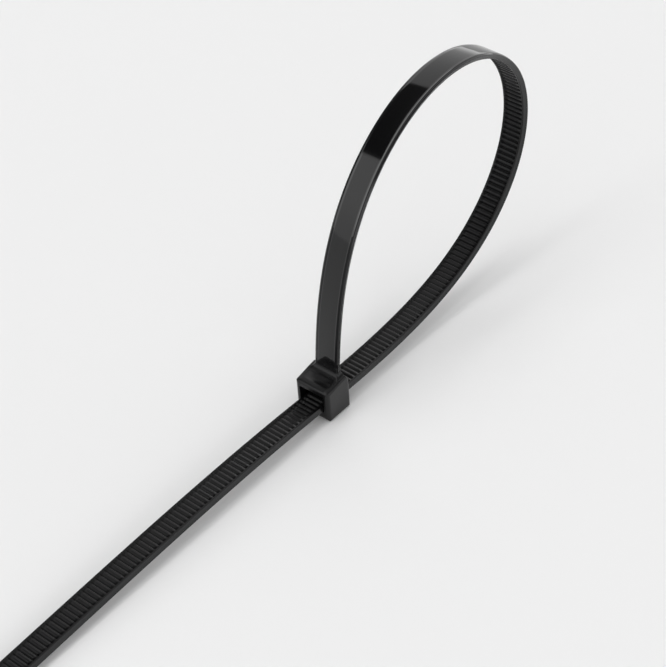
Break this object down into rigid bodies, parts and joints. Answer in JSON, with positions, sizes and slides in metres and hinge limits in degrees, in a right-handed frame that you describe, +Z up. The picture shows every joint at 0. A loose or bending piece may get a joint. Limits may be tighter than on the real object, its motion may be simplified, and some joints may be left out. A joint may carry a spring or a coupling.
{
  "type": "cable tie",
  "caption": "Self-locking cable tie closed into a loop: toothed strap through a square head with a moulded pawl, smooth outer face, tapered tail tip.",
  "frame": {"origin": "on the floor, under the middle of the head, where the head's base rests", "axes": "+Z up; +X from the head to the loop, along the strap through the slot; the tail runs out along -X; the loop lies in the XZ plane, and Y is across the strap"},
  "size_m": [0.1734, 0.0076, 0.0574],
  "materials": {
    "nylon": "black moulded nylon, glossy on the smooth outer face, satin on the teeth and the head"
  },
  "bodies": {
    "root": {"cable_tie": "nylon"}
  },
  "joints": []
}
